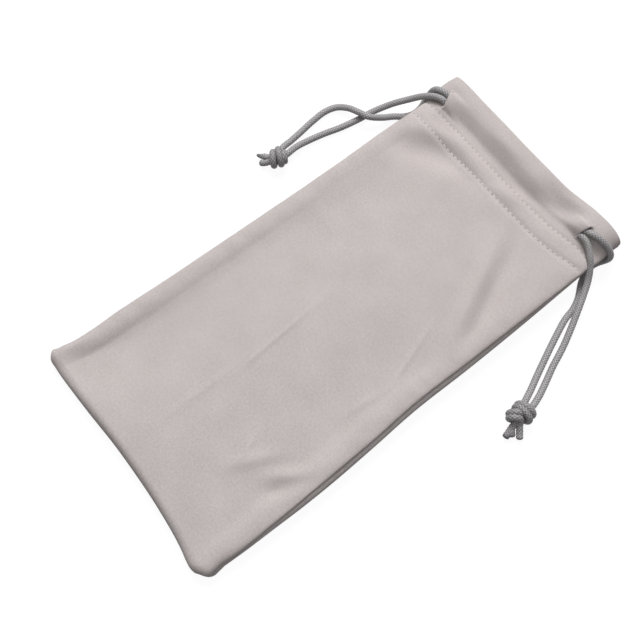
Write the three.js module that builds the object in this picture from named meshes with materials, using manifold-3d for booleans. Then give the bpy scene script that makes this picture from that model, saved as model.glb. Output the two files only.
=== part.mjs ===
// A soft drawstring pouch for spectacles, lying on its back.
// Millimetres. X runs across the pouch, +Y points to its mouth and +Z points up.
import * as THREE from 'three';
import { mergeVertices } from 'three/addons/utils/BufferGeometryUtils.js';
import Module from 'manifold-3d';

// The cloth: one strip, folded at the closed end and sewn up both sides
const pouchLength = 175;
const closedHalfWidth = 45;
const mouthHalfWidth = 42.2;
const clothThickness = 0.5;
const layerGap = 0.3;
const edgeHalfHeight = 0.9;
const edgeInset = 0.35;
const leastEdge = 0.45;

// Heights of the front above the table, and of the two side seams
const closedHeight = 6;
const bodyHeight = 9.6;
const rowHeight = 10.8;
const bandHeight = 11;
const casingHeight = 13.3;
const lipHeight = 10.8;
const closedSeamHeight = 2.8;
const mouthSeamHeight = 5.8;

// Lengths over which the section changes
const closedTaper = 55;
const widthTaper = 115;
const rowSlope = 12;
const casingRise = 1.5;
const lipDepth = 3.5;
const foldLength = 6;
const bottomRoundWidth = 8;

// The hem that is turned in at the mouth, and the two rows that hold it
const upperRowBelowMouth = 16;
const lowerRowBelowMouth = 22.6;
const hemPastRow = 3;
const grooveDepth = 0.7;
const grooveHalfWidth = 0.9;
const threadDiameter = 0.4;
const threadGap = 0.15;

// Seam allowances inside, and the slits that let the drawcords out
const allowanceWidth = 5;
const allowanceThickness = 0.9;
const allowanceFromEdge = 1.25;
const allowanceFromFold = 7;
const seamThreadFromEdge = 2.4;
const slitFromSide = 7.2;
const rightSlitExtra = 2.8;
const leftSlitBelowMouth = 11.6;
const rightSlitBelowMouth = 8.6;
const slitLength = 6.6;
const slitOpening = 5.4;
const tackLength = 2.4;
const tackDiameter = 0.6;

// The drawcords: one to each side, each running right round the hem
const cordDiameter = 2.4;
const cordSides = 8;
const leftCordBelowMouth = 12.4;
const rightCordBelowMouth = 7.6;
const cordFromSlit = 1.5;
const leftKnot = { radius: 3.6, length: 6, waist: 3, center: [-22, -59.2, 3.7], heading: [-0.3, -1] };
const rightKnot = { radius: 4.2, length: 7.2, waist: 3.6, center: [33.1, -55.2, 4.3], heading: [0.2, -1] };

// A tied knot's outline, as shares of its radius and of half its length
const knotFaceShare = 0.65;
const turnTopShare = 0.97;
const turnOuterShare = 0.6;
const turnInnerShare = 0.3;

// How finely the cloth, the threads and the knots are divided
const acrossAngles = 18;
const bodyRows = 12;
const foldRows = 4;
const slitArcSteps = 6;
const threadSides = 6;
const knotSides = 12;
const tackSides = 8;
const tackCapSteps = 3;

const mouthY = pouchLength / 2;
const closedY = -pouchLength / 2;
const upperRowY = mouthY - upperRowBelowMouth;
const lowerRowY = mouthY - lowerRowBelowMouth;
const hemEdgeY = lowerRowY - hemPastRow;
const casingFootY = upperRowY + grooveHalfWidth;
const casingFullY = casingFootY + casingRise;
const cordRadius = cordDiameter / 2;
const cordInset = clothThickness + layerGap + cordRadius;
const leftSlit = { x: slitFromSide - mouthHalfWidth, y: mouthY - leftSlitBelowMouth };
const rightSlit = { x: mouthHalfWidth - slitFromSide - rightSlitExtra, y: mouthY - rightSlitBelowMouth };

// Each strand's points are measured from its slit in X and Y, and from the table in Z.
// A lead runs straight to the knot; a wrap first goes round the pouch's edge and under it.
const leftLead = [
  [2.8, -1, 9.8], [1.2, -1.3, 10.6], [-0.5, -1.7, 11.8], [-2.5, -2.5, 12.3], [-5.1, -3.9, 11.5],
  [-7.6, -5.6, 9.4], [-10, -8.2, 6.7], [-13.1, -12.6, 4.4], [-15.2, -16.6, 2.6], [-16.6, -20.6, 1.5],
  [-17.2, -25.2, 1.3], [-18.6, -33, 1.3], [-20.4, -39.7, 1.3], [-21.6, -45.8, 1.4], [-21.9, -50.9, 2.2],
  [-21.2, -55.6, 3.2],
];
const leftWrap = [
  [1, 1.2, 10.6], [-0.7, 0.6, 11.7], [-2.7, 0, 12.4], [-5, -0.6, 11.9], [-7, -0.9, 10.3],
  [-8.4, -1.2, 7.9], [-8.8, -1.8, 5.4], [-8.4, -3.1, 3.2], [-7.5, -4.9, 1.8], [-6.9, -7, 1.3],
  [-6.9, -9.4, 1.3], [-8, -12.3, 1.4], [-10.2, -15.6, 1.9], [-12.1, -19.6, 2.8], [-14.8, -23.6, 4.1],
  [-18.6, -25.4, 4.1], [-22.6, -26.7, 2.7], [-26, -29.4, 1.4], [-27.2, -33.6, 1.3], [-26.9, -39.6, 1.3],
  [-25.9, -46, 1.5], [-24.9, -51, 2.4], [-24.1, -55.2, 3.4],
];
const rightLead = [
  [-2.5, -1.1, 10.3], [-0.9, -1.4, 11.5], [0.7, -1.8, 12.8], [2.8, -2.3, 13.5], [5.4, -2.9, 13.2],
  [8.2, -3.6, 11.7], [10.9, -4.8, 8.7], [13, -7.5, 5.6], [15.2, -12, 4.1], [18.5, -17.4, 3.5],
  [21.4, -22.4, 2.6], [24.6, -28.7, 1.6], [27.6, -36, 1.3], [30.4, -42, 1.5], [32.3, -46.6, 2.3],
  [33.5, -50.9, 3.4],
];
const rightWrap = [
  [-1.4, 1.5, 11.2], [0.2, 1.6, 12.5], [2.2, 1.8, 13.4], [4.7, 2.2, 13.3], [7.5, 2.8, 11.6],
  [10.2, 3.6, 8.8], [12.1, 3.8, 5.6], [12.2, 2.6, 2.9], [11.3, 0, 1.6], [10.8, -3.6, 1.3],
  [11.3, -7.8, 1.3], [14.2, -12.8, 1.3], [16.2, -16.7, 1.3], [17.7, -21.4, 1.3], [20.3, -27.8, 1.3],
  [23.7, -35.6, 1.3], [26.6, -42, 1.5], [29, -47.2, 2.3], [30.6, -51.2, 3.5],
];
const strandStep = 2 * cordDiameter;

// The cut ends past each knot, measured from the knot's centre in X and Y
const leftTails = [
  [[-2.4, -3.6, 2.9], [-3.7, -4.1, 2.2], [-5.2, -4.5, 1.6], [-6.9, -4.8, 1.5]],
  [[0.6, -4.5, 2.9], [-0.4, -5.7, 2.2], [-1.9, -6.5, 1.6], [-3.6, -6.9, 1.4]],
];
const rightTails = [
  [[-0.4, -4.8, 3.2], [0.5, -6.2, 2.4], [1.8, -7.7, 1.6], [3.2, -9, 1.4]],
  [[2.7, -4.4, 3.0], [4.1, -4.9, 2.2], [5.4, -5.4, 1.6], [6.6, -5.9, 1.4]],
];

const cloth = { color: '#c7bfbd', roughness: 0.92, metalness: 0 };
const thread = { color: '#d3ccca', roughness: 0.7, metalness: 0 };
const braid = { color: '#8d8e90', roughness: 0.6, metalness: 0 };

const pouch = new THREE.Group();
const lengthAxis = new THREE.Vector3(0, 1, 0);

function addPiece(name, geometry, finish, parent = pouch) {
  const mesh = new THREE.Mesh(geometry, new THREE.MeshStandardMaterial(finish));
  mesh.name = name;
  parent.add(mesh);
  return mesh;
}

// One closed surface whose neighbouring faces share their vertices
function welded(geometry) {
  geometry.deleteAttribute('normal');
  geometry.deleteAttribute('uv');
  const joined = mergeVertices(geometry);
  joined.computeVertexNormals();
  return joined;
}

// A value along Y that eases from one [y, value] station to the next
function eased(stations, y) {
  for (let n = 1; n < stations.length; n += 1) {
    const [startY, start] = stations[n - 1];
    const [endY, end] = stations[n];
    if (y <= endY) {
      return THREE.MathUtils.lerp(start, end, THREE.MathUtils.smoothstep(y, startY, endY));
    }
  }
  return stations.at(-1)[1];
}

const widthStations = [[closedY, closedHalfWidth], [closedY + widthTaper, mouthHalfWidth]];
const seamStations = [[closedY, closedSeamHeight], [lowerRowY, mouthSeamHeight]];
const crownStations = [
  [closedY, closedHeight],
  [closedY + closedTaper, bodyHeight],
  [lowerRowY - rowSlope, bodyHeight],
  [lowerRowY, rowHeight],
  [upperRowY, bandHeight],
  [casingFootY, bandHeight],
  [casingFullY, casingHeight],
  [mouthY - lipDepth, casingHeight],
  [mouthY, lipHeight],
];
const casingStations = [
  [casingFootY, 0],
  [casingFullY, 1],
  [mouthY - lipDepth, 1],
  [mouthY, 0],
];

// How far a stitched row draws every layer in
function stitchPull(y) {
  const distance = Math.min(Math.abs(y - upperRowY), Math.abs(y - lowerRowY));
  return grooveDepth * Math.max(0, 1 - distance / grooveHalfWidth);
}

// A point on a layer that lies the given depth under the outer face of the cloth.
// The angle goes from -90 degrees at the left edge to 90 at the right one.
function layerPoint(isFront, angle, line, inset) {
  const bend = line.bend ?? 0;
  const y = line.y - (line.bend === undefined ? 0 : (foldLength - inset) * Math.sin(bend));
  const depth = inset + stitchPull(y);
  const half = eased(widthStations, y) - depth - edgeInset;
  const seam = eased(seamStations, y);
  const edge = Math.max(edgeHalfHeight - depth, leastEdge);
  const x = Math.sign(angle) * Math.sqrt(Math.abs(Math.sin(angle))) * half;
  if (isFront) {
    const rise = Math.cos(angle) * Math.cos(bend);
    return new THREE.Vector3(x, y, seam + edge + (eased(crownStations, y) - depth - seam - edge) * rise);
  }
  const turn = Math.max(0, 1 - (half - Math.abs(x)) / bottomRoundWidth);
  const flat = Math.sqrt(1 - turn * turn) * Math.cos(bend);
  return new THREE.Vector3(x, y, depth + (seam - edge - depth) * (1 - flat));
}

// The cut edge of a layer, which meets the other half along the side seam
function edgePoint(isFront, side, line, inset) {
  const point = layerPoint(isFront, side * Math.PI / 2, line, inset);
  const seam = eased(seamStations, point.y);
  point.x += side * edgeInset;
  point.z = seam + (isFront ? layerGap / 2 : -layerGap / 2);
  return point;
}

// A closed sheet: a box divided in columns and rows, each corner put in its place
function sheet(columnCount, rowCount, place) {
  const box = new THREE.BoxGeometry(1, 1, 1, columnCount, rowCount, 1);
  const corners = box.attributes.position;
  for (let n = 0; n < corners.count; n += 1) {
    const column = Math.round((corners.getX(n) + 0.5) * columnCount);
    const row = Math.round((corners.getY(n) + 0.5) * rowCount);
    const point = place(column, row, corners.getZ(n) > 0);
    corners.setXYZ(n, point.x, point.y, point.z);
  }
  return welded(box);
}

const columnTotal = acrossAngles + 2;

function clothCorner(isFront, column, line, inset) {
  if (column === 0 || column === columnTotal) {
    return edgePoint(isFront, Math.sign(column - 1), line, inset);
  }
  const angle = ((column - 1) / acrossAngles - 0.5) * Math.PI;
  return layerPoint(isFront, angle, line, inset);
}

// Lines along which the cloth is divided, from the mouth to the closed fold
function hemLines() {
  const rows = [upperRowY, lowerRowY].flatMap((y) => [y + grooveHalfWidth, y, y - grooveHalfWidth]);
  const casingMiddle = (casingFullY + mouthY - lipDepth) / 2;
  const bandMiddle = (upperRowY + lowerRowY) / 2;
  const lips = [mouthY, mouthY - lipDepth / 3, mouthY - lipDepth * 2 / 3, mouthY - lipDepth];
  const places = [...lips, casingMiddle, casingFullY, ...rows, bandMiddle, hemEdgeY];
  return places.sort((a, b) => b - a).map((y) => ({ y }));
}

function stripLines() {
  const lines = hemLines();
  const foldStart = closedY + foldLength;
  for (let n = 1; n <= bodyRows; n += 1) {
    lines.push({ y: THREE.MathUtils.lerp(hemEdgeY, foldStart, n / bodyRows) });
  }
  for (let n = 1; n <= foldRows; n += 1) {
    lines.push({ y: foldStart, bend: (n / foldRows) * Math.PI / 2 });
  }
  return lines;
}

// Manifold solids, for cutting the slits
const wasm = await Module();
wasm.setup();

function toSolid(geometry) {
  const vertProperties = new Float32Array(geometry.attributes.position.array);
  const triVerts = new Uint32Array(geometry.index.array);
  return new wasm.Manifold(new wasm.Mesh({ numProp: 3, vertProperties, triVerts }));
}

function toGeometry(solid) {
  const { vertProperties, triVerts } = solid.getMesh();
  const geometry = new THREE.BufferGeometry();
  geometry.setAttribute('position', new THREE.BufferAttribute(vertProperties, 3));
  geometry.setIndex(new THREE.BufferAttribute(triVerts, 1));
  geometry.computeVertexNormals();
  return geometry;
}

function angleAt(x, y, inset) {
  const half = eased(widthStations, y) - stitchPull(y) - inset - edgeInset;
  return Math.sign(x) * Math.asin(Math.min(1, (x / half) ** 2));
}

function frontSurface(x, y) {
  return layerPoint(true, angleAt(x, y, 0), { y }, 0);
}

function slitCutter(slit) {
  const half = slitOpening / 2;
  const straight = slitLength / 2 - half;
  const outline = new THREE.Shape();
  outline.absarc(0, straight, half, 0, Math.PI);
  outline.absarc(0, -straight, half, Math.PI, 2 * Math.PI);
  const depth = 3 * cordDiameter;
  const cut = { depth, bevelEnabled: false, curveSegments: slitArcSteps };
  const cutter = new THREE.ExtrudeGeometry(outline, cut);
  cutter.translate(slit.x, slit.y, frontSurface(slit.x, slit.y).z - cordDiameter);
  return toSolid(welded(cutter));
}

// The strip runs from the back of the mouth, round the closed fold, to the front of the mouth
function makePouchCloth() {
  const lines = stripLines();
  const last = lines.length - 1;
  const strip = sheet(columnTotal, 2 * last + 1, (column, row, isOuter) => {
    const isFront = row > last;
    const line = lines[isFront ? 2 * last + 1 - row : row];
    return clothCorner(isFront, column, line, isOuter ? 0 : clothThickness);
  });
  return toGeometry(toSolid(strip).subtract(slitCutter(leftSlit)).subtract(slitCutter(rightSlit)));
}

// The turned-in hem lies against the cloth at both rows and leaves the casing between them and the lip
function makeHem(isFront) {
  const lines = hemLines().reverse();
  const roomForCord = cordDiameter + 2 * layerGap;
  return sheet(columnTotal, lines.length - 1, (column, row, isOuter) => {
    const line = lines[isFront ? row : lines.length - 1 - row];
    const casing = eased(casingStations, line.y) * roomForCord;
    const inset = clothThickness + layerGap + casing + (isOuter ? 0 : clothThickness);
    return clothCorner(isFront, column, line, inset);
  });
}

// A tube whose rings stand square to a route that keeps close to one plane of constant Y
function routedTube(points, radius, sides) {
  const tube = new THREE.CylinderGeometry(radius, radius, 1, sides, points.length - 1);
  const corners = tube.attributes.position;
  for (let n = 0; n < corners.count; n += 1) {
    const step = Math.round((corners.getY(n) + 0.5) * (points.length - 1));
    const before = points[Math.max(step - 1, 0)];
    const after = points[Math.min(step + 1, points.length - 1)];
    const along = after.clone().sub(before).normalize();
    const out = new THREE.Vector3().crossVectors(along, lengthAxis).normalize();
    const across = new THREE.Vector3().crossVectors(out, along);
    const corner = points[step].clone();
    corner.addScaledVector(out, corners.getX(n)).addScaledVector(across, corners.getZ(n));
    corners.setXYZ(n, corner.x, corner.y, corner.z);
  }
  return welded(tube);
}

// A thread ring round the whole mouth, lying in the groove of its row
function makeStitchRow(y) {
  const inset = -threadGap - threadDiameter / 2;
  const loop = [];
  for (let column = 0; column <= columnTotal; column += 1) {
    loop.push(clothCorner(true, column, { y }, inset));
  }
  for (let column = columnTotal; column >= 0; column -= 1) {
    loop.push(clothCorner(false, column, { y }, inset));
  }
  const ring = new THREE.TorusGeometry(1, threadDiameter / 2, threadSides, loop.length);
  const corners = ring.attributes.position;
  for (let n = 0; n < corners.count; n += 1) {
    const turn = Math.atan2(corners.getY(n), corners.getX(n)) / (2 * Math.PI);
    const step = (Math.round(turn * loop.length) + loop.length) % loop.length;
    const before = loop[(step + loop.length - 1) % loop.length];
    const after = loop[(step + 1) % loop.length];
    const along = after.clone().sub(before).normalize();
    const out = new THREE.Vector3().crossVectors(along, lengthAxis);
    const corner = loop[step].clone();
    corner.addScaledVector(out, Math.hypot(corners.getX(n), corners.getY(n)) - 1);
    corners.setXYZ(n, corner.x, corner.y + corners.getZ(n), corner.z);
  }
  return welded(ring);
}

// The two raw edges pressed together inside a side seam, from the fold to the hem
function makeAllowance(side) {
  return sheet(2, bodyRows, (column, row, isUpper) => {
    const from = closedY + allowanceFromFold;
    const y = THREE.MathUtils.lerp(from, hemEdgeY - layerGap, row / bodyRows);
    const across = (side > 0 ? 2 - column : column) / 2;
    const reach = allowanceFromEdge + across * allowanceWidth;
    const x = side * (eased(widthStations, y) - reach);
    const z = eased(seamStations, y) + (isUpper ? 0.5 : -0.5) * allowanceThickness;
    return new THREE.Vector3(x, y, z);
  });
}

function makeSeamThread(side) {
  const points = [];
  for (let n = 0; n <= bodyRows; n += 1) {
    const y = THREE.MathUtils.lerp(closedY + allowanceFromFold, hemEdgeY - layerGap, n / bodyRows);
    const x = side * (eased(widthStations, y) - seamThreadFromEdge);
    const lift = allowanceThickness / 2 + threadGap + threadDiameter / 2;
    points.push(new THREE.Vector3(x, y, eased(seamStations, y) + lift));
  }
  const route = new THREE.CatmullRomCurve3(points);
  return tubeAlong(route, threadDiameter / 2, threadSides, bodyRows);
}

function tubeAlong(route, radius, sides, steps) {
  const rim = [];
  for (let n = 0; n < sides; n += 1) {
    const turn = (n / sides) * 2 * Math.PI;
    rim.push(new THREE.Vector2(radius * Math.cos(turn), radius * Math.sin(turn)));
  }
  const section = new THREE.Shape(rim);
  return welded(new THREE.ExtrudeGeometry(section, { steps, extrudePath: route, bevelEnabled: false }));
}

// A drawcord inside the hem: from its slit across the front, round the back and up to the slit again
function makeCordInCasing(slit, y) {
  const side = Math.sign(slit.x);
  const line = { y };
  const nearAngle = angleAt(slit.x - side * (slitOpening / 2 + cordFromSlit), y, cordInset);
  const outerAngle = angleAt(slit.x + side * slitOpening / 2, y, cordInset);
  const edgeAngle = side * Math.PI / 2;
  const points = [];
  const run = (isFront, from, to, steps) => {
    for (let n = 0; n <= steps; n += 1) {
      points.push(layerPoint(isFront, THREE.MathUtils.lerp(from, to, n / steps), line, cordInset));
    }
  };
  run(true, nearAngle, -edgeAngle, Math.round(acrossAngles * 3 / 4));
  run(false, -edgeAngle, edgeAngle, acrossAngles);
  run(true, edgeAngle, outerAngle, 2);
  return routedTube(points, cordRadius, cordSides);
}

function makeStrand(points, slit) {
  const places = points.map(([x, y, z]) => new THREE.Vector3(slit.x + x, slit.y + y, z));
  const route = new THREE.CatmullRomCurve3(places);
  return tubeAlong(route, cordRadius, cordSides, Math.round(route.getLength() / strandStep));
}

// A pulled-tight overhand knot in both strands: two turns side by side
function makeKnot(knot) {
  const half = knot.length / 2;
  const turn = [
    [knot.radius * turnTopShare, half * turnInnerShare],
    [knot.radius, half * turnOuterShare],
    [knot.radius * knotFaceShare, half],
    [0, half],
  ];
  const mirrored = turn.map(([x, y]) => [x, -y]).reverse();
  const profile = [...mirrored, [knot.waist, 0], ...turn];
  return welded(new THREE.LatheGeometry(profile.map(([x, y]) => new THREE.Vector2(x, y)), knotSides));
}

// A short bar of stitches across one end of a slit, lying on the cloth
function addTack(name, slit, end) {
  const y = slit.y + end * (slitLength / 2 + tackDiameter);
  const radius = tackDiameter / 2;
  const across = frontSurface(slit.x + radius, y).sub(frontSurface(slit.x - radius, y)).normalize();
  const along = frontSurface(slit.x, y + radius).sub(frontSurface(slit.x, y - radius)).normalize();
  const out = new THREE.Vector3().crossVectors(across, along).normalize();
  const bar = new THREE.CapsuleGeometry(radius, tackLength - tackDiameter, tackCapSteps, tackSides);
  const tack = addPiece(name, welded(bar), thread);
  tack.position.copy(frontSurface(slit.x, y)).addScaledVector(out, radius + layerGap);
  tack.quaternion.setFromUnitVectors(lengthAxis, across);
}

addPiece('pouch_cloth', makePouchCloth(), cloth);
addPiece('front_hem', makeHem(true), cloth);
addPiece('back_hem', makeHem(false), cloth);
addPiece('upper_stitch_row', makeStitchRow(upperRowY), thread);
addPiece('lower_stitch_row', makeStitchRow(lowerRowY), thread);

const sides = [
  {
    name: 'left',
    sign: -1,
    slit: leftSlit,
    cordY: mouthY - leftCordBelowMouth,
    lead: leftLead,
    wrap: leftWrap,
    knot: leftKnot,
    tails: leftTails,
  },
  {
    name: 'right',
    sign: 1,
    slit: rightSlit,
    cordY: mouthY - rightCordBelowMouth,
    lead: rightLead,
    wrap: rightWrap,
    knot: rightKnot,
    tails: rightTails,
  },
];

for (const side of sides) {
  addPiece(`${side.name}_seam_allowance`, makeAllowance(side.sign), cloth);
  addPiece(`${side.name}_seam_thread`, makeSeamThread(side.sign), thread);
  addTack(`${side.name}_slit_upper_tack`, side.slit, 1);
  addTack(`${side.name}_slit_lower_tack`, side.slit, -1);
  addPiece(`${side.name}_cord_in_casing`, makeCordInCasing(side.slit, side.cordY), braid);
  addPiece(`${side.name}_cord_lead`, makeStrand(side.lead, side.slit), braid);
  addPiece(`${side.name}_cord_wrap`, makeStrand(side.wrap, side.slit), braid);
  const [knotX, knotY, knotZ] = side.knot.center;
  const knotGroup = new THREE.Group();
  knotGroup.position.set(side.slit.x + knotX, side.slit.y + knotY, 0);
  pouch.add(knotGroup);
  const knot = addPiece(`${side.name}_knot`, makeKnot(side.knot), braid, knotGroup);
  knot.position.z = knotZ;
  knot.rotation.z = Math.atan2(side.knot.heading[1], side.knot.heading[0]) - Math.PI / 2;
  side.tails.forEach((tail, n) => {
    addPiece(`${side.name}_tail_${n + 1}`, makeStrand(tail, { x: 0, y: 0 }), braid, knotGroup);
  });
}

export default pouch;
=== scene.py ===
"""A soft eyeglass pouch with two knotted drawcords, lying on its back. Metres, +Y to the mouth."""
import math

import bmesh
import bpy
import numpy as np
from mathutils import Matrix, Vector, noise


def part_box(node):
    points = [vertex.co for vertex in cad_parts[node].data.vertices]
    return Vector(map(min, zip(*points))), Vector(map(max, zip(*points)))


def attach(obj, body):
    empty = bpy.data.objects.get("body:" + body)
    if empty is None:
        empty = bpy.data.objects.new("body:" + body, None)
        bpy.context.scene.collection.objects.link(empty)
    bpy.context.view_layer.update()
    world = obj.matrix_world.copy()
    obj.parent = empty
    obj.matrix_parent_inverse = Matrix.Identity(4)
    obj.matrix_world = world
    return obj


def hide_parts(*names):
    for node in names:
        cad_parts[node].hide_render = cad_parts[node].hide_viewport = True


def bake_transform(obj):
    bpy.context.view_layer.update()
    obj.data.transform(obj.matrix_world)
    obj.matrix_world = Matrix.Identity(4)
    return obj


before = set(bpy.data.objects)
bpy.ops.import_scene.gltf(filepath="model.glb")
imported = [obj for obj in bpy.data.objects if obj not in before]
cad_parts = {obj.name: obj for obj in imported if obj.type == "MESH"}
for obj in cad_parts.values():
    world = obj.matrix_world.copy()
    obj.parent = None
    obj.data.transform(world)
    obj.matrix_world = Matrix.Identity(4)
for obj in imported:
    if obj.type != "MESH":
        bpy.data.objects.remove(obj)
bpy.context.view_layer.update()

# Pouch cloth: one strip of brushed microfibre, folded at the closed end and sewn up both sides.
# It rolls over the mouth into the turned-in hem, and two slits in the front let the cords out.
# The cut size takes in both hems and both seam allowances.
cloth_thickness = 0.0005
cloth_low, cloth_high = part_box("pouch_cloth")
closed_y, mouth_y = cloth_low.y, cloth_high.y
cloth_half = cloth_high.x
edge_roll = 0.0007
bottom_round = 0.009
fold_length = 0.0034
lip_radius = 0.0006
hem_past_row = 0.003
stitch_pitch = 0.0021
stitch_margin = 0.003
groove_depth = 0.0004
groove_width = 0.0009
needle_dip = 0.0002


def row_place(node):
    """Where a row of stitches, or a cord in the casing, lies along the pouch."""
    low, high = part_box(node)
    return (low.y + high.y) / 2


upper_row_y = row_place("upper_stitch_row")
lower_row_y = row_place("lower_stitch_row")
hem_edge_y = lower_row_y - hem_past_row
fold_y = closed_y + fold_length
lip_y = mouth_y - lip_radius

# Half the width to the left and the right, the seams' height and the front's height, along the pouch
left_side = [
    (-0.0875, 0.0455), (-0.0872, 0.0461), (-0.0866, 0.0463), (-0.0857, 0.0459), (-0.0840, 0.0452),
    (-0.0815, 0.0447), (-0.0780, 0.0438), (-0.0710, 0.0431), (-0.0600, 0.0428), (-0.0470, 0.0421),
    (-0.0230, 0.0413), (0.0020, 0.0407), (0.0270, 0.0403), (0.0525, 0.0404), (0.0670, 0.0402),
    (0.0740, 0.0404), (0.0800, 0.0415), (0.0875, 0.0413),
]
right_side = [
    (-0.0875, 0.0426), (-0.0871, 0.0439), (-0.0865, 0.0446), (-0.0855, 0.0451), (-0.0840, 0.0453),
    (-0.0820, 0.0450), (-0.0800, 0.0449), (-0.0760, 0.0452), (-0.0700, 0.0454), (-0.0630, 0.0455),
    (-0.0500, 0.0457), (-0.0420, 0.0456), (-0.0230, 0.0448), (-0.0030, 0.0436), (0.0190, 0.0436),
    (0.0410, 0.0432), (0.0630, 0.0424), (0.0700, 0.0422), (0.0750, 0.0425), (0.0790, 0.0424),
    (0.0820, 0.0422), (0.0845, 0.0421), (0.0875, 0.0422),
]
seam_line = [
    (closed_y, 0.0030), (-0.0780, 0.0044), (-0.0600, 0.0062), (-0.0300, 0.0070), (0.0300, 0.0074),
    (lower_row_y, 0.0074), (mouth_y, 0.0066),
]
crown_line = [
    (fold_y, 0.0072), (-0.0760, 0.0079), (-0.0660, 0.0081), (-0.0500, 0.0084), (-0.0320, 0.0090),
    (0.0100, 0.0094), (0.0500, 0.0098), (lower_row_y, 0.0100), (0.0682, 0.0102), (upper_row_y, 0.0100),
    (0.0736, 0.0099), (0.0752, 0.0103), (0.0773, 0.0118), (0.0796, 0.0133), (0.0815, 0.0139),
    (0.0835, 0.0141), (0.0855, 0.0140), (lip_y, 0.0137),
]
# How squarely the front turns down at its sides: a flat tube, which grows rounder at the drawn mouth
side_roundness = [(0.058, 20), (0.072, 8)]
# How far the back panel stands out past the seam, along each side
left_tuck = [(closed_y, 0.0), (mouth_y, 0.0)]
right_tuck = [
    (closed_y, 0.0004), (-0.0830, 0.0007), (-0.0780, 0.0005), (-0.0650, 0.0009), (-0.0450, 0.0016),
    (-0.0150, 0.0014), (0.0050, 0.0015), (0.0300, 0.0012), (0.0550, 0.0005), (0.0700, 0.0), (mouth_y, 0.0),
]

# How far the drawn mouth, the two rows and the closed end lie from a straight line, across the pouch
mouth_run = [(-0.042, -0.0018), (-0.037, -0.0027), (-0.030, -0.0032), (-0.013, -0.0032), (0.007, -0.0029),
             (0.017, -0.0022), (0.028, -0.0007), (0.036, 0.0002), (0.042, 0.0006)]
upper_run = [(-0.042, -0.0012), (-0.025, -0.0007), (-0.009, -0.0006), (0.009, -0.0001), (0.023, 0.0008),
             (0.035, 0.0028), (0.042, 0.0034)]
lower_run = [(-0.042, -0.0010), (-0.025, -0.0009), (-0.009, -0.0004), (0.006, -0.0001), (0.016, 0.0003),
             (0.028, 0.0014), (0.040, 0.0046)]
closed_run = [(-0.0465, 0.0020), (-0.0440, 0.0004), (-0.0400, 0.0), (-0.0300, 0.0), (-0.0230, 0.0002),
              (-0.0050, 0.0010), (0.0030, 0.0010), (0.0180, 0.0005), (0.0330, -0.0011), (0.0370, -0.0019),
              (0.0390, -0.0021), (0.0405, -0.0019), (0.0425, -0.0011), (0.0450, -0.0006)]
run_start_y = 0.030
closed_run_end_y = -0.060

# Soft ridges, and hollows where the height is below zero: start, end, half width and height
front_creases = [
    ((0.0150, 0.0565), (0.0340, 0.0185), 0.0029, 0.0012),
    ((0.0205, 0.0590), (0.0395, 0.0210), 0.0029, -0.0012),
    ((-0.0037, -0.0070), (-0.0013, -0.0410), 0.0009, 0.00034),
    ((-0.0036, -0.0400), (-0.0034, -0.0690), 0.0014, 0.00026),
    ((0.0183, -0.0468), (0.0227, -0.0587), 0.0008, 0.00026),
    ((0.0250, 0.0190), (0.0332, -0.0050), 0.0009, 0.00040),
    ((0.0332, -0.0050), (0.0314, -0.0230), 0.0012, 0.00028),
    ((0.0312, -0.0545), (0.0398, -0.0422), 0.0023, 0.0011),
    ((0.0352, -0.0582), (0.0445, -0.0448), 0.0026, -0.0014),
    ((0.0291, -0.0453), (0.0207, -0.0626), 0.0023, 0.0007),
    ((-0.0385, 0.0592), (-0.0165, 0.0718), 0.0036, 0.0011),
    ((-0.0360, 0.0515), (-0.0140, 0.0650), 0.0054, -0.0021),
    ((-0.0220, 0.0682), (-0.0060, 0.0682), 0.0026, 0.0009),
    ((-0.0340, 0.0692), (-0.0200, 0.0694), 0.0026, -0.0006),
    ((0.0010, 0.0684), (0.0110, 0.0688), 0.0025, 0.0010),
    ((-0.0200, 0.0618), (-0.0040, 0.0622), 0.0024, -0.0004),
    ((-0.0150, 0.0810), (-0.0020, 0.0815), 0.0024, 0.0005),
    ((0.0030, 0.0742), (0.0140, 0.0748), 0.0020, -0.0004),
    ((0.0160, 0.0835), (0.0290, 0.0852), 0.0022, 0.0006),
    ((0.0160, 0.0785), (0.0290, 0.0802), 0.0022, -0.0006),
    ((0.0110, 0.0812), (0.0270, 0.0815), 0.0050, -0.0026),
    ((-0.0430, 0.0735), (-0.0310, 0.0735), 0.0026, 0.0011),
    ((-0.0430, 0.0805), (-0.0310, 0.0805), 0.0030, -0.0011),
    ((0.0270, 0.0775), (0.0420, 0.0775), 0.0045, 0.0006),
]
# The seam allowances hold the edges up, so the front sags beside them: how deep and how far in along the
# pouch, and over what width towards the edge and towards the middle
left_sag = [(closed_y, 0.0), (-0.0830, 0.0014), (-0.0760, 0.0026), (-0.0640, 0.0026), (-0.0400, 0.0020),
            (-0.0200, 0.0019), (0.0, 0.0018), (0.0200, 0.0013), (0.0400, 0.0012), (0.0580, 0.0)]
left_sag_inset = [(closed_y, 0.0040), (-0.0820, 0.0052), (-0.0730, 0.0088), (-0.0640, 0.0106),
                  (-0.0500, 0.0114), (0.0, 0.0116), (0.0300, 0.0140)]
right_sag = [(closed_y, 0.0006), (-0.0600, 0.0010), (-0.0200, 0.0012), (0.0050, 0.0009), (0.0200, 0.0003),
             (0.0580, 0.0)]
right_sag_inset = [(closed_y, 0.0100), (-0.0600, 0.0110), (-0.0200, 0.0122), (0.0100, 0.0105)]
left_sag_width = 0.0070
right_sag_width = 0.0046
sag_inner_width = 0.0180

# Height, size and seed of the front's chance unevenness, and the puckers that the seams' stitches draw
front_ripples = [(0.00035, 0.028, 3.7), (0.00012, 0.009, 8.1)]
pucker_height = 0.00030
pucker_length = 0.0045
pucker_width = 0.0025
pucker_seed = 1.3
seams_apart = 0.05
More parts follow.
